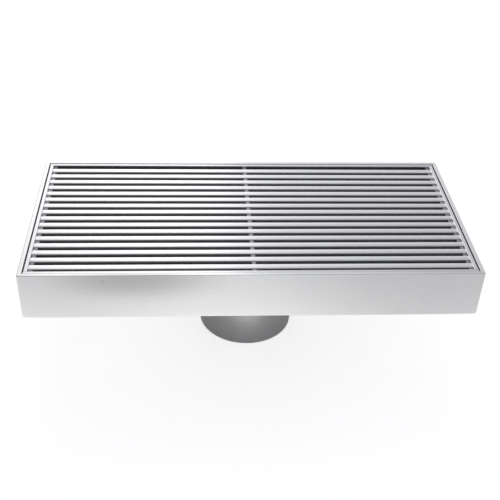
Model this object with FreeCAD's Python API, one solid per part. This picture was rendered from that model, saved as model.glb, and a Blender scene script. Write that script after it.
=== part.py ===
import FreeCAD, Part
import os

# Linear floor drain: a folded sheet tray with a hemmed rim and a welded outlet spigot,
# and a lift-out bar grate that stands on the tray floor.
# Units are millimetres. The origin is the centre of the spigot's lower rim, +Z is up,
# X runs along the tray and -Y is the front.

# Tray, folded from one sheet
tray_length = 300.0
tray_width = 143.0
tray_height = 34.5
sheet = 1.2
corner_radius = 1.7
fold_radius = 1.5

# Hem that closes the rim inwards, pressed flat on top
hem_slot = 0.6
hem_depth = 8.0
rim_edge_radius = 0.6
rim_lip_radius = 0.3

# Outlet spigot, a tube welded under the tray floor
spigot_diameter = 68.0
spigot_wall = 1.5
spigot_length = 57.5
spigot_chamfer = 0.4
weld_leg = 2.0

# Grate frame, flat bar set on edge
grate_end_clearance = 0.65
grate_side_clearance = 0.3
grate_recess = 0.45
frame_bar_thickness = 2.5
frame_bar_height = 16.0
frame_edge_radius = 0.35

# Grate bars, crowned on top and tapered below
bar_count = 16
bar_width = 4.8
bar_crown = 0.25
bar_land = 0.8
bar_edge_radius = 0.6
bar_height = 7.0
bar_drop = 0.75
bar_base_width = 2.6

# Cross bars, notched for the grate bars, each with a foot at both ends
cross_bar_thickness = 3.0
cross_bar_drop = 0.55
cross_bar_height = 14.0
cross_bar_edge_radius = 0.4
foot_width = 12.0
foot_radius = 4.0

# How far a cutting shape runs past the face that it opens
overrun = 5.0

# How near an edge has to be to count as lying along the rim's lip
near = 0.1

# Levels above the spigot's lower rim
tray_base_z = spigot_length
floor_z = tray_base_z + sheet
rim_z = tray_base_z + tray_height
hem_base_z = rim_z - hem_depth
grate_top_z = rim_z - grate_recess
bar_top_z = grate_top_z - bar_drop
cross_bar_top_z = bar_top_z - cross_bar_drop
cross_bar_base_z = cross_bar_top_z - cross_bar_height

# Rim, frame and bar layout in plan
rim_width = 2 * sheet + hem_slot
inner_corner_radius = corner_radius - sheet
inner_fold_radius = fold_radius - sheet
grate_length = tray_length - 2 * (rim_width + grate_end_clearance)
grate_width = tray_width - 2 * (rim_width + grate_side_clearance)
frame_inner_length = grate_length - 2 * frame_bar_thickness
frame_inner_width = grate_width - 2 * frame_bar_thickness
bar_gap = (frame_inner_width - bar_count * bar_width) / (bar_count + 1)
bar_pitch = bar_width + bar_gap
end_cross_bar_x = (frame_inner_length - cross_bar_thickness) / 2


def box_between(x_ends, y_ends, z_ends):
    """Box that fills the given span along each axis."""
    corner = FreeCAD.Vector(x_ends[0], y_ends[0], z_ends[0])
    return Part.makeBox(x_ends[1] - x_ends[0], y_ends[1] - y_ends[0], z_ends[1] - z_ends[0], corner)


def centred_box(length, width, base_z, top_z):
    """Box centred on the Z axis."""
    return box_between((-length / 2, length / 2), (-width / 2, width / 2), (base_z, top_z))


def upright_edges(shape):
    """Straight edges that run along Z."""
    return [edge for edge in shape.Edges if edge.BoundBox.ZLength > edge.BoundBox.DiagonalLength * 0.99]


def level_edges(shape, level):
    """Edges that lie flat at one level."""
    return [edge for edge in shape.Edges
            if max(abs(edge.BoundBox.ZMin - level), abs(edge.BoundBox.ZMax - level)) < 1e-4]


def tray_block(inset, base_z, top_z, upright_radius):
    """Block set in from the tray's outline on all four sides, with rounded upright edges."""
    block = centred_box(tray_length - 2 * inset, tray_width - 2 * inset, base_z, top_z)
    return block.makeFillet(upright_radius, upright_edges(block))


def tray():
    """Floor with the drain hole, four walls, and the rim hemmed inwards."""
    block = tray_block(0, tray_base_z, rim_z, corner_radius)
    block = block.makeFillet(fold_radius, level_edges(block, tray_base_z))
    block = block.makeFillet(rim_edge_radius, level_edges(block, rim_z))

    hollow = tray_block(sheet, floor_z, hem_base_z, inner_corner_radius)
    hollow = hollow.makeFillet(inner_fold_radius, level_edges(hollow, floor_z))
    mouth = tray_block(rim_width, hem_base_z - overrun, rim_z + overrun, inner_corner_radius)
    slot = tray_block(sheet, hem_base_z - overrun, rim_z - sheet, inner_corner_radius)
    hem_leg = tray_block(sheet + hem_slot, hem_base_z, rim_z, inner_corner_radius)
    folded = block.cut(mouth).cut(slot.cut(hem_leg)).cut(hollow).removeSplitter()

    hem_lip = [edge for edge in level_edges(folded, rim_z)
               if abs(edge.BoundBox.Center.x) < tray_length / 2 - rim_width + near
               and abs(edge.BoundBox.Center.y) < tray_width / 2 - rim_width + near]
    folded = folded.makeFillet(rim_lip_radius, hem_lip)

    hole_base = FreeCAD.Vector(0, 0, tray_base_z - overrun)
    hole = Part.makeCylinder(spigot_diameter / 2 - spigot_wall, sheet + 2 * overrun, hole_base)
    return folded.cut(hole)


def outlet_spigot():
    """Tube below the drain hole, with the weld bead that joins it to the floor."""
    radius = spigot_diameter / 2
    tube = Part.makeCylinder(radius, spigot_length)
    tube = tube.makeChamfer(spigot_chamfer, level_edges(tube, 0))
    bead = Part.makeCone(radius, radius + weld_leg, weld_leg, FreeCAD.Vector(0, 0, spigot_length - weld_leg))
    bore = Part.makeCylinder(radius - spigot_wall, spigot_length + 2 * overrun, FreeCAD.Vector(0, 0, -overrun))
    return tube.fuse(bead).cut(bore).removeSplitter()


def frame_bar(x_ends, y_ends):
    """Flat bar on edge, with its two long top edges eased."""
    bar = box_between(x_ends, y_ends, (grate_top_z - frame_bar_height, grate_top_z))
    span = max(x_ends[1] - x_ends[0], y_ends[1] - y_ends[0])
    long_top_edges = [edge for edge in level_edges(bar, grate_top_z) if abs(edge.Length - span) < 1e-4]
    return bar.makeFillet(frame_edge_radius, long_top_edges)


def frame_rail(side):
    """Rail along the front (-1) or the back (1) of the grate, over its full length."""
    faces = sorted((side * grate_width / 2, side * frame_inner_width / 2))
    return frame_bar((-grate_length / 2, grate_length / 2), faces)


def frame_end_bar(side):
    """End bar between the rails, at the left (-1) or the right (1)."""
    faces = sorted((side * grate_length / 2, side * frame_inner_length / 2))
    return frame_bar(faces, (-frame_inner_width / 2, frame_inner_width / 2))


def bar_y(index):
    """Centre of a grate bar, counted from the front."""
    return (index - (bar_count - 1) / 2) * bar_pitch


def bar_section(centre_y, x):
    """Section of a grate bar: crowned top, short upright sides and a taper to the base."""
    def point(offset, depth):
        return FreeCAD.Vector(x, centre_y + offset, bar_top_z - depth)

    half = bar_width / 2
    half_base = bar_base_width / 2
    taper_start = bar_crown + bar_land
    outline = [
        Part.Arc(point(-half, bar_crown), point(0, 0), point(half, bar_crown)).toShape(),
        Part.makeLine(point(half, bar_crown), point(half, taper_start)),
        Part.makeLine(point(half, taper_start), point(half_base, bar_height)),
        Part.makeLine(point(half_base, bar_height), point(-half_base, bar_height)),
        Part.makeLine(point(-half_base, bar_height), point(-half, taper_start)),
        Part.makeLine(point(-half, taper_start), point(-half, bar_crown)),
    ]
    return Part.Face(Part.Wire(outline))


def grate_bar(index):
    """One of the bars that the water runs between, from one end bar to the other."""
    bar = bar_section(bar_y(index), -frame_inner_length / 2).extrude(FreeCAD.Vector(frame_inner_length, 0, 0))
    shoulders = [edge for edge in level_edges(bar, bar_top_z - bar_crown) if edge.BoundBox.XLength > bar_width]
    return bar.makeFillet(bar_edge_radius, shoulders)


def cross_bar(centre_x):
    """Plate on edge across the frame, notched on top for the bars, with a foot at each end."""
    x_ends = (centre_x - cross_bar_thickness / 2, centre_x + cross_bar_thickness / 2)
    half_width = frame_inner_width / 2
    half_arch = half_width - foot_width
    plate = box_between(x_ends, (-half_width, half_width), (floor_z, cross_bar_top_z))
    long_top_edges = [edge for edge in level_edges(plate, cross_bar_top_z) if edge.BoundBox.XLength < near]
    plate = plate.makeFillet(cross_bar_edge_radius, long_top_edges)
    arch = box_between((x_ends[0] - overrun, x_ends[1] + overrun), (-half_arch, half_arch),
                       (floor_z - overrun, cross_bar_base_z))
    arch_corners = [edge for edge in level_edges(arch, cross_bar_base_z) if edge.BoundBox.YLength < 1e-4]
    plate = plate.cut(arch.makeFillet(foot_radius, arch_corners))
    for index in range(bar_count):
        section = bar_section(bar_y(index), x_ends[0] - overrun)
        plate = plate.cut(section.extrude(FreeCAD.Vector(cross_bar_thickness + 2 * overrun, 0, 0)))
    return plate


def save(name, shape):
    """Write one piece to its own file."""
    shape.exportStep(os.path.join("parts", name + ".step"))


def main():
    """Make every piece of the drain."""
    os.makedirs("parts", exist_ok=True)
    save("drain_tray", tray())
    save("outlet_spigot", outlet_spigot())
    save("grate_front_rail", frame_rail(-1))
    save("grate_back_rail", frame_rail(1))
    save("grate_left_end_bar", frame_end_bar(-1))
    save("grate_right_end_bar", frame_end_bar(1))
    save("grate_left_cross_bar", cross_bar(-end_cross_bar_x))
    save("grate_centre_cross_bar", cross_bar(0.0))
    save("grate_right_cross_bar", cross_bar(end_cross_bar_x))
    for index in range(bar_count):
        save(f"grate_bar_{index + 1:02d}", grate_bar(index))


main()
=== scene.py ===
import logging
import math
from collections.abc import Sequence
from dataclasses import dataclass
from enum import Enum

import bpy
from mathutils import Matrix, Vector


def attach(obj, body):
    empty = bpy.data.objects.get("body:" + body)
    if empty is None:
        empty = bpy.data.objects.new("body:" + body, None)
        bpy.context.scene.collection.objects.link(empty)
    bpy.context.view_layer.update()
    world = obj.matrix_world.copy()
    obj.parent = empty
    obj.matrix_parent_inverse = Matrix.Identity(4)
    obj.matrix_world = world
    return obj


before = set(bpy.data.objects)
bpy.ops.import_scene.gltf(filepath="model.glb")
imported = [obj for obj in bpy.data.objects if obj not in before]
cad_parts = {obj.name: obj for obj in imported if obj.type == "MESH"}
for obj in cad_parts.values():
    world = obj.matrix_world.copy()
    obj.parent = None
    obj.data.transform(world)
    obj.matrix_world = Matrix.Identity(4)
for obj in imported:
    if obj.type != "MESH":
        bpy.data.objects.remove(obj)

log = logging.getLogger("floor_drain")

MM = 0.001

# Sockets of the Mix node, which has its own inputs and output for each kind of data
MIX_SHARE = 0
MIX_NUMBER_A, MIX_NUMBER_B, MIX_NUMBER_OUT = 2, 3, 0
MIX_COLOUR_A, MIX_COLOUR_B, MIX_COLOUR_OUT = 6, 7, 2

# Turn of the shader's stretch that takes it from along the brushing lines to across them
QUARTER_TURN = 0.25

Tree = bpy.types.NodeTree
Socket = bpy.types.NodeSocket


class Grain(Enum):
    """Way in which the brushing lines run, as the share of each axis that the pattern reads."""

    ALONG_X = (0.012, 1.0, 1.0)
    ALONG_Y = (1.0, 0.012, 1.0)
    ROUND_Z = (0.03, 0.03, 1.0)


def linear_rgb(hex_colour: str) -> tuple[float, float, float, float]:
    """Turn an sRGB hex colour into linear light.

    Args:
        hex_colour: Six hex digits with a leading hash sign.

    Returns:
        Linear red, green and blue, with an alpha of 1.
    """
    channels = []
    for start in (1, 3, 5):
        value = int(hex_colour[start:start + 2], 16) / 255
        channels.append(value / 12.92 if value <= 0.04045 else ((value + 0.055) / 1.055) ** 2.4)
    return (*channels, 1.0)


def add_node(tree: Tree, kind: str, settings: dict | None = None,
             links: dict | None = None) -> bpy.types.Node:
    """Add one shader node with its settings and incoming links.

    Args:
        tree: Node tree that receives the node.
        kind: Node type, such as ShaderNodeTexNoise.
        settings: Attribute names, input names or input numbers with their values.
        links: Input names or numbers with the output sockets that feed them.

    Returns:
        The new node.
    """
    node = tree.nodes.new(kind)
    for name, value in (settings or {}).items():
        if isinstance(name, int) or name in node.inputs:
            node.inputs[name].default_value = value
        else:
            setattr(node, name, value)
    for name, socket in (links or {}).items():
        tree.links.new(socket, node.inputs[name])
    return node


def level_ramp(tree: Tree, value: Socket, places: Sequence[float], levels: Sequence[float]) -> Socket:
    """Look a level up along a value, straight from one step to the next.

    Args:
        tree: Node tree to add to.
        value: Value to look up.
        places: Values of the steps, from low to high.
        levels: Level at each step.

    Returns:
        The level.
    """
    share = add_node(tree, "ShaderNodeMapRange", {"From Min": places[0], "From Max": places[-1]},
                     {"Value": value})
    ramp = add_node(tree, "ShaderNodeValToRGB", None, {"Fac": share.outputs["Result"]})
    stops = ramp.color_ramp.elements
    while len(stops) < len(places):
        stops.new(1.0)
    for stop, place, level in zip(stops, places, levels):
        stop.position = (place - places[0]) / (places[-1] - places[0])
        stop.color = (level, level, level, 1.0)
    return ramp.outputs["Color"]


@dataclass(frozen=True)
class BrushedSteel:
    """Austenitic stainless steel, rubbed one way with an abrasive belt.

    The belt leaves fine parallel lines. They keep a reflection sharp along the lines and
    draw it out across them, which gives the soft silvery sheen with no clear mirror image.
    """

    name: str
    colour: str
    grain: Grain = Grain.ALONG_X
    # The belt's own lines are about 0.1 mm apart, too fine to show, so they are drawn coarser
    line_spacing_mm: float = 1.1
    line_detail: float = 4.0
    line_harshness: float = 0.65
    line_contrast: float = 0.08
    line_depth_mm: float = 0.012
    roughness: float = 0.32
    roughness_spread: float = 0.10
    draw_out: float = 0.65
    # Size and strength of the cloudy patches that hand-held brushing leaves
    cloud_mm: float = 55.0
    cloud_detail: float = 2.0
    cloud_contrast: float = 0.05

    def start(self) -> tuple[bpy.types.Material, Tree, Socket]:
        """Begin an empty material.

        Returns:
            The material, its node tree and the place on the piece, in metres.
        """
        material = bpy.data.materials.new(self.name)
        material.use_nodes = True
        tree = material.node_tree
        tree.nodes.clear()
        return material, tree, add_node(tree, "ShaderNodeTexCoord").outputs["Object"]

    def lines(self, tree: Tree, place: Socket, grain: Grain) -> Socket:
        """Brushing lines that run one way.

        Args:
            tree: Node tree to add to.
            place: Place on the piece.
            grain: Way in which the lines run.

        Returns:
            Height of the lines, about 0.5 on average.
        """
        drawn = add_node(tree, "ShaderNodeMapping", {"Scale": grain.value}, {"Vector": place})
        noise = add_node(tree, "ShaderNodeTexNoise",
                         {"Scale": 1 / (self.line_spacing_mm * MM), "Detail": self.line_detail,
                          "Roughness": self.line_harshness},
                         {"Vector": drawn.outputs["Vector"]})
        return noise.outputs["Fac"]

    def two_way(self, tree: Tree, place: Socket, on_end: Socket) -> tuple[Socket, Socket]:
        """Brushing lines along X on the long sides and along Y on the ends.

        Args:
            tree: Node tree to add to.
            place: Place on the piece.
            on_end: 1 on the ends and 0 on the long sides.

        Returns:
            Height of the lines, and the way in which they run, as a vector.
        """
        lines = add_node(tree, "ShaderNodeMix", {"data_type": "FLOAT"},
                         {MIX_SHARE: on_end, MIX_NUMBER_A: self.lines(tree, place, Grain.ALONG_X),
                          MIX_NUMBER_B: self.lines(tree, place, Grain.ALONG_Y)}).outputs[MIX_NUMBER_OUT]
        along = add_node(tree, "ShaderNodeMath", {"operation": "SUBTRACT", 0: 1.0}, {1: on_end})
        tangent = add_node(tree, "ShaderNodeCombineXYZ", None, {"X": along.outputs["Value"], "Y": on_end})
        return lines, tangent.outputs["Vector"]

    def clouds(self, tree: Tree, place: Socket) -> Socket:
        """Slow cloudy change in the polish.

        Args:
            tree: Node tree to add to.
            place: Place on the piece.

        Returns:
            Strength of the polish, about 0.5 on average.
        """
        noise = add_node(tree, "ShaderNodeTexNoise",
                         {"Scale": 1 / (self.cloud_mm * MM), "Detail": self.cloud_detail},
                         {"Vector": place})
        return noise.outputs["Fac"]

    def scaled(self, tree: Tree, value: Socket, contrast: float) -> Socket:
        """Turn a pattern about 0.5 into a factor about 1.

        Args:
            tree: Node tree to add to.
            value: Pattern to use.
            contrast: How far the factor moves as the pattern goes from 0 to 1.

        Returns:
            The factor.
        """
        factor = add_node(tree, "ShaderNodeMath",
                          {"operation": "MULTIPLY_ADD", 1: contrast, 2: 1 - contrast / 2}, {0: value})
        return factor.outputs["Value"]

    def tinted(self, tree: Tree, lines: Socket, clouds: Socket, factors: Sequence[Socket] = (),
               colour: Socket | None = None) -> Socket:
        """Vary the steel's colour with the brushing and the polish.

        Args:
            tree: Node tree to add to.
            lines: Brushing lines.
            clouds: Cloudy change in the polish.
            factors: Further factors about 1.
            colour: Colour to start from, or None for the steel's own.

        Returns:
            The colour.
        """
        product = self.scaled(tree, lines, self.line_contrast)
        for factor in (self.scaled(tree, clouds, self.cloud_contrast), *factors):
            product = add_node(tree, "ShaderNodeMath", {"operation": "MULTIPLY"},
                               {0: product, 1: factor}).outputs["Value"]
        links = {"Scale": product}
        if colour is not None:
            links[0] = colour
        return add_node(tree, "ShaderNodeVectorMath", {"operation": "SCALE", 0: linear_rgb(self.colour)[:3]},
                        links).outputs["Vector"]

    def finish(self, tree: Tree, colour: Socket, lines: Socket, clouds: Socket,
               tangent: Socket, extra_roughness: Socket | None = None) -> None:
        """Add the shader and the material's output.

        Args:
            tree: Node tree to add to.
            colour: Colour of the steel.
            lines: Brushing lines.
            clouds: Cloudy change in the polish.
            tangent: Way in which the lines run, as a vector.
            extra_roughness: Roughness to add in some places.
        """
        rough = add_node(tree, "ShaderNodeMath",
                         {"operation": "MULTIPLY_ADD", 1: self.roughness_spread,
                          2: self.roughness - self.roughness_spread}, {0: lines})
        rough = add_node(tree, "ShaderNodeMath",
                         {"operation": "MULTIPLY_ADD", 1: self.roughness_spread},
                         {0: clouds, 2: rough.outputs["Value"]})
        if extra_roughness is not None:
            rough = add_node(tree, "ShaderNodeMath", {"operation": "ADD"},
                             {0: rough.outputs["Value"], 1: extra_roughness})
        relief = add_node(tree, "ShaderNodeBump", {"Strength": 1.0, "Distance": self.line_depth_mm * MM},
                          {"Height": lines})
        shader = add_node(tree, "ShaderNodeBsdfPrincipled",
                          {"Metallic": 1.0, "Anisotropic": self.draw_out,
                           "Anisotropic Rotation": QUARTER_TURN},
                          {"Base Color": colour, "Roughness": rough.outputs["Value"],
                           "Normal": relief.outputs["Normal"], "Tangent": tangent})
        add_node(tree, "ShaderNodeOutputMaterial", None, {"Surface": shader.outputs["BSDF"]})

    def material(self) -> bpy.types.Material:
        """Build the shader for a piece that is brushed one way all over.

        Returns:
            The finished material.
        """
        material, tree, place = self.start()
        lines = self.lines(tree, place, self.grain)
        clouds = self.clouds(tree, place)
        colour = self.tinted(tree, lines, clouds)
        if self.grain is Grain.ROUND_Z:
            tangent = add_node(tree, "ShaderNodeVectorMath", {"operation": "CROSS_PRODUCT", 0: (0, 0, 1)},
                               {1: place}).outputs["Vector"]
        else:
            tangent = add_node(tree, "ShaderNodeCombineXYZ",
                               {"X": 1.0 if self.grain is Grain.ALONG_X else 0.0,
                                "Y": 1.0 if self.grain is Grain.ALONG_Y else 0.0}).outputs["Vector"]
        self.finish(tree, colour, lines, clouds, tangent)
        return material


@dataclass(frozen=True)
class FoldedSheetSteel(BrushedSteel):
    """Folded sheet with a flat rim, brushed along each side after folding.

    The brushing turns at the corners, where a ground weld shows as a hairline. The front wall has a
    painted reflection, a soft darker patch near its left end, and a small dark scuff.
    """

    half_length_mm: float = 150.0
    half_width_mm: float = 71.5
    hairline_mm: float = 0.25
    hairline_shade: float = 0.10
    # Painted reflection: a soft darker patch on the front wall that stands in for something dark mirrored in
    # it
    patch_centre_mm: tuple[float, float, float] = (-77.0, -71.5, 90.0)
    patch_reach_mm: tuple[float, float, float] = (78.0, 6.0, 26.0)
    patch_shade: float = 0.33
    scuff_centre_mm: tuple[float, float, float] = (-96.6, -71.5, 87.6)
    scuff_reach_mm: tuple[float, float, float] = (0.7, 2.0, 2.6)
    scuff_shade: float = 0.25

    def spot(self, tree: Tree, place: Socket, centre_mm: tuple[float, float, float],
             reach_mm: tuple[float, float, float], shade: float) -> Socket:
        """Soft darker spot on the sheet.

        Args:
            tree: Node tree to add to.
            place: Place on the piece.
            centre_mm: Middle of the spot.
            reach_mm: How far the spot reaches along each axis.
            shade: Share of the light that the spot takes at its middle.

        Returns:
            Factor that is 1 outside the spot.
        """
        offset = add_node(tree, "ShaderNodeVectorMath",
                          {"operation": "SUBTRACT", 1: [value * MM for value in centre_mm]}, {0: place})
        unit = add_node(tree, "ShaderNodeVectorMath",
                        {"operation": "DIVIDE", 1: [value * MM for value in reach_mm]},
                        {0: offset.outputs["Vector"]})
        far = add_node(tree, "ShaderNodeVectorMath", {"operation": "LENGTH"}, {0: unit.outputs["Vector"]})
        factor = add_node(tree, "ShaderNodeMapRange",
                          {"interpolation_type": "SMOOTHERSTEP", "To Min": 1 - shade, "To Max": 1.0},
                          {"Value": far.outputs["Value"]})
        return factor.outputs["Result"]

    def material(self) -> bpy.types.Material:
        """Build the shader, with the brushing along X on the long sides and along Y on the ends.

        Returns:
            The finished material.
        """
        material, tree, place = self.start()
        axes = add_node(tree, "ShaderNodeSeparateXYZ", None, {"Vector": place})
        to_side = []
        for axis, half in (("X", self.half_length_mm), ("Y", self.half_width_mm)):
            reach = add_node(tree, "ShaderNodeMath", {"operation": "ABSOLUTE"}, {0: axes.outputs[axis]})
            to_side.append(add_node(tree, "ShaderNodeMath", {"operation": "SUBTRACT", 0: half * MM},
                                    {1: reach.outputs["Value"]}).outputs["Value"])
        on_end = add_node(tree, "ShaderNodeMath", {"operation": "LESS_THAN"},
                          {0: to_side[0], 1: to_side[1]}).outputs["Value"]
        lines, tangent = self.two_way(tree, place, on_end)
        clouds = self.clouds(tree, place)

        # The mitre of the ground corner weld, a hairline where both sides are equally near
        apart = add_node(tree, "ShaderNodeMath", {"operation": "SUBTRACT"}, {0: to_side[0], 1: to_side[1]})
        apart = add_node(tree, "ShaderNodeMath", {"operation": "ABSOLUTE"}, {0: apart.outputs["Value"]})
        hairline = add_node(tree, "ShaderNodeMapRange",
                            {"From Max": self.hairline_mm * MM, "To Min": 1 - self.hairline_shade,
                             "To Max": 1.0}, {"Value": apart.outputs["Value"]}).outputs["Result"]

        # Painted reflection of something dark in front of the wall, darkening a soft patch near its left end
        patch = self.spot(tree, place, self.patch_centre_mm, self.patch_reach_mm, self.patch_shade)
        scuff = self.spot(tree, place, self.scuff_centre_mm, self.scuff_reach_mm, self.scuff_shade)
        colour = self.tinted(tree, lines, clouds, [hairline, patch, scuff])
        self.finish(tree, colour, lines, clouds, tangent)
        return material


@dataclass(frozen=True)
class FlatBarSteel(BrushedSteel):
    """Flat bar of the grate's frame, brushed along each bar: the rails along X, the ends along Y.

    The inner arris of the right end bar has a painted highlight, a thin light line made lighter in colour.
    """

    rail_from_mm: float = 65.7
    # The arris that carries the painted highlight, with a little room on its inner side so that none of it
    # is missed
    arris_from_mm: float = 143.85
    arris_to_mm: float = 144.45
    arris_room_mm: float = 0.1
    arris_gain: float = 1.45

    def material(self) -> bpy.types.Material:
        """Build the shader.

        Returns:
            The finished material.
        """
        material, tree, place = self.start()
        axes = add_node(tree, "ShaderNodeSeparateXYZ", None, {"Vector": place})
        across = add_node(tree, "ShaderNodeMath", {"operation": "ABSOLUTE"}, {0: axes.outputs["Y"]})
        on_end = add_node(tree, "ShaderNodeMath", {"operation": "LESS_THAN", 1: self.rail_from_mm * MM},
                          {0: across.outputs["Value"]}).outputs["Value"]
        lines, tangent = self.two_way(tree, place, on_end)
        clouds = self.clouds(tree, place)
        # Painted highlight: the right end bar's inner arris is made lighter in colour, standing in for the
        # light it catches
        fade = add_node(tree, "ShaderNodeMapRange",
                        {"interpolation_type": "SMOOTHSTEP", "From Min": self.arris_from_mm * MM,
                         "From Max": self.arris_to_mm * MM, "To Min": self.arris_gain - 1.0, "To Max": 0.0},
                        {"Value": axes.outputs["X"]})
        right_from = (self.arris_from_mm - self.arris_room_mm) * MM
        beyond = add_node(tree, "ShaderNodeMath", {"operation": "GREATER_THAN", 1: right_from},
                          {0: axes.outputs["X"]})
        rubbed = add_node(tree, "ShaderNodeMath", {"operation": "MULTIPLY"},
                          {0: fade.outputs["Result"], 1: beyond.outputs["Value"]})
        arris = add_node(tree, "ShaderNodeMath", {"operation": "MULTIPLY_ADD", 2: 1.0},
                         {0: rubbed.outputs["Value"], 1: on_end}).outputs["Value"]
        colour = self.tinted(tree, lines, clouds, [arris])
        self.finish(tree, colour, lines, clouds, tangent)
        return material


@dataclass(frozen=True)
class DrawnBarSteel(BrushedSteel):
    """Cold-drawn bar with a ground crown: bright on top, and darker grey on its sides, partly as drawn and
    partly painted shade of the gaps between the bars.

    No two bars are ground quite alike, so each one is a little brighter or duller than the next.
    """

    side_colour: str = "#909193"
    crown_z_mm: float = 90.8
    # The bar's colour turns darker between these two depths below its crown, partly the drawn finish and
    # partly painted shade of the gaps
    ground_depth_mm: float = 0.276
    drawn_depth_mm: float = 0.46
    side_roughness: float = 0.25
    pitch_mm: float = 8.012
    bar_contrast: float = 0.06

    def material(self) -> bpy.types.Material:
        """Build the shader.

        Returns:
            The finished material.
        """
        material, tree, place = self.start()
        lines = self.lines(tree, place, self.grain)
        clouds = self.clouds(tree, place)
        axes = add_node(tree, "ShaderNodeSeparateXYZ", None, {"Vector": place})
        depth = add_node(tree, "ShaderNodeMath", {"operation": "SUBTRACT", 0: self.crown_z_mm * MM},
                         {1: axes.outputs["Z"]})
        on_side = add_node(tree, "ShaderNodeMapRange",
                           {"interpolation_type": "SMOOTHSTEP", "From Min": self.ground_depth_mm * MM,
                            "From Max": self.drawn_depth_mm * MM},
                           {"Value": depth.outputs["Value"]}).outputs["Result"]
        # Darker colour on the sides: partly the drawn finish, partly painted shade in the gaps between the
        # bars
        steel = add_node(tree, "ShaderNodeMix",
                         {"data_type": "RGBA", MIX_COLOUR_A: linear_rgb(self.colour),
                          MIX_COLOUR_B: linear_rgb(self.side_colour)},
                         {MIX_SHARE: on_side}).outputs[MIX_COLOUR_OUT]

        row = add_node(tree, "ShaderNodeMath", {"operation": "DIVIDE", 1: self.pitch_mm * MM},
                       {0: axes.outputs["Y"]})
        row = add_node(tree, "ShaderNodeMath", {"operation": "FLOOR"}, {0: row.outputs["Value"]})
        shade = add_node(tree, "ShaderNodeTexWhiteNoise", {"noise_dimensions": "1D"},
                         {"W": row.outputs["Value"]}).outputs["Value"]
        colour = self.tinted(tree, lines, clouds, [self.scaled(tree, shade, self.bar_contrast)], steel)
        rougher = add_node(tree, "ShaderNodeMath", {"operation": "MULTIPLY", 1: self.side_roughness},
                           {0: on_side}).outputs["Value"]
        tangent = add_node(tree, "ShaderNodeCombineXYZ", {"X": 1.0}).outputs["Vector"]
        self.finish(tree, colour, lines, clouds, tangent, rougher)
        return material


def dress(node: str, material: bpy.types.Material) -> None:
    """Give one CAD node its finish.

    Args:
        node: Name of the node.
        material: Finish to apply.
    """
    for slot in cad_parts[node].material_slots:
        slot.material = material


@dataclass
class DrainTray:
    """Folded sheet tray with its flat rim."""

    node: str = "drain_tray"
    finish: FoldedSheetSteel = FoldedSheetSteel("belt_brushed_stainless_sheet", "#D6D6D6", roughness=0.27,
                                                roughness_spread=0.06)

    def build(self) -> None:
        """Dress the tray."""
        dress(self.node, self.finish.material())
        log.info("tray dressed")


@dataclass
class OutletSpigot:
    """Outlet tube, with the ripples of the weld that joins it to the tray."""

    node: str = "outlet_spigot"
    # Left as the mill made it, a dull grey with faint rings round it
    tube_finish: BrushedSteel = BrushedSteel("mill_finish_stainless_tube", "#C3C3C3", Grain.ROUND_Z,
                                             roughness=0.36, draw_out=0.3, line_contrast=0.12)
    # Wire brushed after welding, a little darker and warmer than the tube
    weld_finish: BrushedSteel = BrushedSteel("wire_brushed_stainless_weld", "#B3B0AA", Grain.ROUND_Z,
                                             line_spacing_mm=0.6, roughness=0.36, draw_out=0.0,
                                             cloud_mm=9.0, cloud_contrast=0.16)
    tube_radius_mm: float = 34.0
    tray_base_z_mm: float = 57.5
    ripple_count: int = 96
    ripple_centre_mm: float = 0.8
    ripple_radius_mm: float = 1.35
    ripple_half_length_mm: float = 2.0
    ripple_lean_deg: float = 28.0
    ripple_segments: int = 16
    ripple_rings: int = 10
    weld_voxel_mm: float = 0.28

    def ripple(self) -> bpy.types.Object:
        """Model one ripple: a leaning, flattened bead in the corner between tube and tray.

        Returns:
            The ripple, at the front of the tube.
        """
        bpy.ops.object.select_all(action="DESELECT")
        reach = (self.tube_radius_mm + self.ripple_centre_mm) * MM
        height = (self.tray_base_z_mm - self.ripple_centre_mm) * MM
        bpy.ops.mesh.primitive_uv_sphere_add(segments=self.ripple_segments, ring_count=self.ripple_rings,
                                             radius=self.ripple_radius_mm * MM,
                                             location=(0, -reach, height))
        ripple = bpy.context.object
        bpy.ops.object.mode_set(mode="EDIT")
        bpy.ops.mesh.select_all(action="SELECT")
        stretch = self.ripple_half_length_mm / self.ripple_radius_mm
        bpy.ops.transform.resize(value=(stretch, 1, 1), center_override=(0, -reach, height))
        bpy.ops.transform.rotate(value=math.radians(self.ripple_lean_deg), orient_axis="Z",
                                 center_override=(0, -reach, height))
        bpy.ops.object.mode_set(mode="OBJECT")
        bpy.ops.object.transform_apply(location=True, rotation=True, scale=True)
        return ripple

    def weld(self) -> bpy.types.Object:
        """Lay the ripples round the tube and fuse them into one bead.

        Returns:
            The weld bead.
        """
        first = self.ripple()
        ripples = [first]
        for index in range(1, self.ripple_count):
            copy = first.copy()
            copy.data = first.data.copy()
            copy.data.transform(Matrix.Rotation(2 * math.pi * index / self.ripple_count, 4, "Z"))
            bpy.context.scene.collection.objects.link(copy)
            ripples.append(copy)
        bpy.ops.object.select_all(action="DESELECT")
        for ripple in ripples:
            ripple.select_set(True)
        bpy.context.view_layer.objects.active = first
        bpy.ops.object.join()
        first.name = "spigot_weld"
        fuse = first.modifiers.new("fuse", "REMESH")
        fuse.mode = "VOXEL"
        fuse.voxel_size = self.weld_voxel_mm * MM
        fuse.use_smooth_shade = True
        bpy.ops.object.modifier_apply(modifier=fuse.name)
        return first

    def build(self) -> None:
        """Dress the tube and add its weld."""
        dress(self.node, self.tube_finish.material())
        bead = self.weld()
        bead.data.materials.append(self.weld_finish.material())
        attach(bead, "root")
        log.info("spigot dressed, weld with %d faces", len(bead.data.polygons))


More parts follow.
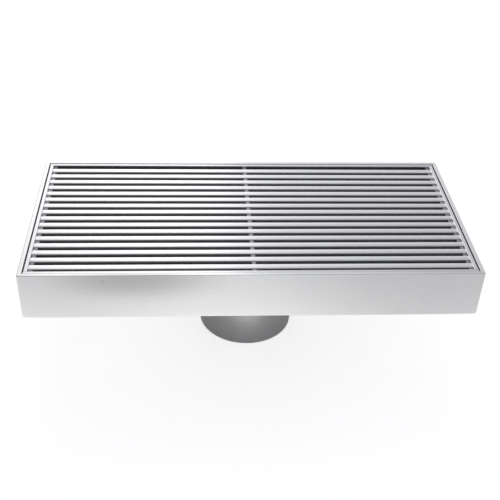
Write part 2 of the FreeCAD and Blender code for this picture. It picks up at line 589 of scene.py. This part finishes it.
@dataclass
class BarGrate:
    """Lift-out grate: frame, cross bars and long bars."""

    frame_finish: FlatBarSteel = FlatBarSteel("belt_brushed_stainless_flat_bar", "#CDCDD0", roughness=0.24)
    bar_finish: DrawnBarSteel = DrawnBarSteel("ground_drawn_stainless_bar", "#DFDFE0")
    # Matt and darker, partly a duller pickled finish and partly painted shade, as the cross bars sit under
    # and between the bars they carry
    cross_finish: BrushedSteel = BrushedSteel("pickled_stainless_flat_bar", "#919194", Grain.ALONG_Y,
                                              roughness=0.50, draw_out=0.3)

    def build(self) -> None:
        """Dress every piece of the grate."""
        frame_steel = self.frame_finish.material()
        bar_steel = self.bar_finish.material()
        cross_steel = self.cross_finish.material()
        for node in sorted(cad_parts):
            if node.endswith("cross_bar"):
                dress(node, cross_steel)
            elif node.startswith("grate_bar"):
                dress(node, bar_steel)
            elif node.startswith("grate"):
                dress(node, frame_steel)
        log.info("grate dressed")


@dataclass
class Studio:
    """Pale floor, soft light and the camera."""

    lens_mm: float = 61.25
    sensor_mm: float = 36.0
    clip_start_m: float = 0.01
    camera_place_mm: tuple[float, float, float] = (-39.9, -497.8, 421.7)
    camera_azimuth_deg: float = 4.79
    camera_elevation_deg: float = 35.92
    camera_roll_deg: float = 2.61
    floor_size_m: float = 8.0
    floor_colour: str = "#DADADA"
    floor_glow: float = 0.60
    # No glow inside the spigot, so that the waterway looks dark from above
    glow_from_mm: float = 34.0
    # The paper as the steel mirrors it: dark under the drain, bright beside it, dimmer further out
    pool_half_size_mm: tuple[float, float] = (150.0, 71.5)
    pool_steps_mm: tuple[float, ...] = (-10.0, 15.0, 70.0, 140.0, 500.0)
    pool_glow: tuple[float, ...] = (0.0, 0.94, 0.59, 0.26, 0.50)
    # The pool is brightest in front of the drain's middle
    pool_middle_mm: float = -8.0
    pool_middle_reach_mm: float = 150.0
    pool_middle_gain: float = 0.52
    # It is a little brighter to the left than to the right, as a share over the drain's half length
    pool_tilt: float = 0.19
    world_colour: str = "#FAFBFF"
    horizon_strength: float = 0.92
    zenith_strength: float = 0.30
    zenith_from: float = 0.45
    # The white is brightest behind the drain's middle, by how far the way to it leans along X
    sky_lean_x: tuple[float, ...] = (-0.50, -0.28, -0.06, 0.08, 0.31)
    sky_gain: tuple[float, ...] = (0.80, 0.80, 1.40, 1.50, 1.00)
    box_colour: str = "#FFFEFA"
    box_azimuth_deg: float = -10.2
    box_elevation_deg: float = 36.0
    box_distance_m: float = 1.4
    box_size_m: tuple[float, float] = (0.50, 1.3)
    box_power_w: float = 1.9

    def camera(self) -> None:
        """Set the camera at the photo's viewpoint."""
        data = bpy.data.cameras.new("camera")
        data.lens = self.lens_mm
        data.sensor_width = self.sensor_mm
        data.clip_start = self.clip_start_m
        camera = bpy.data.objects.new("camera", data)
        bpy.context.scene.collection.objects.link(camera)
        turn = Matrix.Rotation(math.radians(-self.camera_azimuth_deg), 4, "Z")
        tilt = Matrix.Rotation(math.radians(90 - self.camera_elevation_deg), 4, "X")
        roll = Matrix.Rotation(math.radians(self.camera_roll_deg), 4, "Z")
        place = Matrix.Translation(Vector(self.camera_place_mm) * MM)
        camera.matrix_world = place @ turn @ tilt @ roll
        bpy.context.scene.camera = camera

    def pool(self, tree: Tree) -> Socket:
        """Pool of light that the steel mirrors in the paper, by the distance from the drain's sides.

        Args:
            tree: Node tree of the paper.

        Returns:
            Strength of the glow.
        """
        axes = add_node(tree, "ShaderNodeSeparateXYZ", None,
                        {"Vector": add_node(tree, "ShaderNodeTexCoord").outputs["Object"]})
        beyond = []
        for axis, half in zip("XY", self.pool_half_size_mm):
            reach = add_node(tree, "ShaderNodeMath", {"operation": "ABSOLUTE"}, {0: axes.outputs[axis]})
            beyond.append(add_node(tree, "ShaderNodeMath", {"operation": "SUBTRACT", 1: half * MM},
                                   {0: reach.outputs["Value"]}).outputs["Value"])
        away = add_node(tree, "ShaderNodeMath", {"operation": "MAXIMUM"}, {0: beyond[0], 1: beyond[1]})
        glow = level_ramp(tree, away.outputs["Value"], [step * MM for step in self.pool_steps_mm],
                          self.pool_glow)
        aside = add_node(tree, "ShaderNodeMath", {"operation": "SUBTRACT", 1: self.pool_middle_mm * MM},
                         {0: axes.outputs["X"]})
        aside = add_node(tree, "ShaderNodeMath", {"operation": "ABSOLUTE"}, {0: aside.outputs["Value"]})
        gain = add_node(tree, "ShaderNodeMapRange",
                        {"interpolation_type": "SMOOTHSTEP", "From Max": self.pool_middle_reach_mm * MM,
                         "To Min": 1.0 + self.pool_middle_gain, "To Max": 1.0},
                        {"Value": aside.outputs["Value"]})
        bright = add_node(tree, "ShaderNodeMath", {"operation": "MULTIPLY"},
                          {0: glow, 1: gain.outputs["Result"]})
        half_length = self.pool_half_size_mm[0] * MM
        tilt = add_node(tree, "ShaderNodeMapRange",
                        {"From Min": -half_length, "From Max": half_length,
                         "To Min": 1.0 + self.pool_tilt, "To Max": 1.0 - self.pool_tilt},
                        {"Value": axes.outputs["X"]})
        bright = add_node(tree, "ShaderNodeMath", {"operation": "MULTIPLY"},
                          {0: bright.outputs["Value"], 1: tilt.outputs["Result"]})
        return bright.outputs["Value"]

    def floor(self) -> None:
        """Lay a large pale floor under the spigot, white to the eye but with the drain's shadow."""
        bpy.ops.object.select_all(action="DESELECT")
        bpy.ops.mesh.primitive_plane_add(size=self.floor_size_m, location=(0, 0, 0))
        floor = bpy.context.object
        floor.name = "floor"
        material = bpy.data.materials.new("matt_white_paper")
        material.use_nodes = True
        tree = material.node_tree
        tree.nodes.clear()
        paper = add_node(tree, "ShaderNodeBsdfDiffuse", {"Color": linear_rgb(self.floor_colour)})
        seen = add_node(tree, "ShaderNodeLightPath")
        direct = add_node(tree, "ShaderNodeMath", {"operation": "MAXIMUM"},
                          {0: seen.outputs["Is Camera Ray"], 1: seen.outputs["Is Transmission Ray"]})
        direct = add_node(tree, "ShaderNodeMath", {"operation": "MULTIPLY", 1: self.floor_glow},
                          {0: direct.outputs["Value"]})
        away = add_node(tree, "ShaderNodeVectorMath", {"operation": "LENGTH"},
                        {0: add_node(tree, "ShaderNodeTexCoord").outputs["Object"]})
        outside = add_node(tree, "ShaderNodeMath", {"operation": "GREATER_THAN", 1: self.glow_from_mm * MM},
                           {0: away.outputs["Value"]})
        direct = add_node(tree, "ShaderNodeMath", {"operation": "MULTIPLY"},
                          {0: direct.outputs["Value"], 1: outside.outputs["Value"]})
        strength = add_node(tree, "ShaderNodeMath", {"operation": "MULTIPLY_ADD"},
                            {0: seen.outputs["Is Glossy Ray"], 1: self.pool(tree),
                             2: direct.outputs["Value"]})
        glow = add_node(tree, "ShaderNodeEmission", None, {"Strength": strength.outputs["Value"]})
        both = add_node(tree, "ShaderNodeAddShader", None,
                        {0: paper.outputs["BSDF"], 1: glow.outputs["Emission"]})
        add_node(tree, "ShaderNodeOutputMaterial", None, {"Surface": both.outputs["Shader"]})
        floor.data.materials.append(material)

    def soft_box(self) -> None:
        """Hang the soft box above the drain, behind it and to its left."""
        data = bpy.data.lights.new("soft_box", "AREA")
        data.shape = "RECTANGLE"
        data.size, data.size_y = self.box_size_m
        data.energy = self.box_power_w
        data.color = linear_rgb(self.box_colour)[:3]
        lamp = bpy.data.objects.new("soft_box", data)
        bpy.context.scene.collection.objects.link(lamp)
        azimuth = math.radians(self.box_azimuth_deg)
        elevation = math.radians(self.box_elevation_deg)
        way = Vector((math.cos(elevation) * math.sin(azimuth), math.cos(elevation) * math.cos(azimuth),
                      math.sin(elevation)))
        lamp.location = way * self.box_distance_m
        lamp.rotation_euler = (-way).to_track_quat("-Z", "Y").to_euler()

    def world(self) -> None:
        """Surround the drain with white that fades to grey overhead."""
        world = bpy.data.worlds.new("studio")
        bpy.context.scene.world = world
        world.use_nodes = True
        tree = world.node_tree
        tree.nodes.clear()
        way = add_node(tree, "ShaderNodeTexCoord")
        axes = add_node(tree, "ShaderNodeSeparateXYZ", None, {"Vector": way.outputs["Generated"]})
        strength = add_node(tree, "ShaderNodeMapRange",
                            {"From Min": self.zenith_from, "From Max": 1.0,
                             "To Min": self.horizon_strength, "To Max": self.zenith_strength},
                            {"Value": axes.outputs["Z"]})
        gain = level_ramp(tree, axes.outputs["X"], self.sky_lean_x, self.sky_gain)
        strength = add_node(tree, "ShaderNodeMath", {"operation": "MULTIPLY"},
                            {0: strength.outputs["Result"], 1: gain})
        # The eye sees plain white behind the drain, while the steel mirrors the fading white
        seen = add_node(tree, "ShaderNodeLightPath")
        strength = add_node(tree, "ShaderNodeMath", {"operation": "ADD"},
                            {0: strength.outputs["Value"], 1: seen.outputs["Is Camera Ray"]})
        background = add_node(tree, "ShaderNodeBackground", {"Color": linear_rgb(self.world_colour)},
                              {"Strength": strength.outputs["Value"]})
        add_node(tree, "ShaderNodeOutputWorld", None, {"Surface": background.outputs["Background"]})

    def build(self) -> None:
        """Set the whole studio up."""
        self.camera()
        self.floor()
        self.world()
        self.soft_box()
        bpy.context.scene.view_settings.view_transform = "Standard"
        log.info("studio set up")


def main() -> None:
    """Dress the drain, add its weld and set up the studio."""
    logging.basicConfig(level=logging.INFO, format="%(message)s")
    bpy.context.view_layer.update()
    DrainTray().build()
    OutletSpigot().build()
    BarGrate().build()
    Studio().build()


if __name__ == "__main__":
    main()
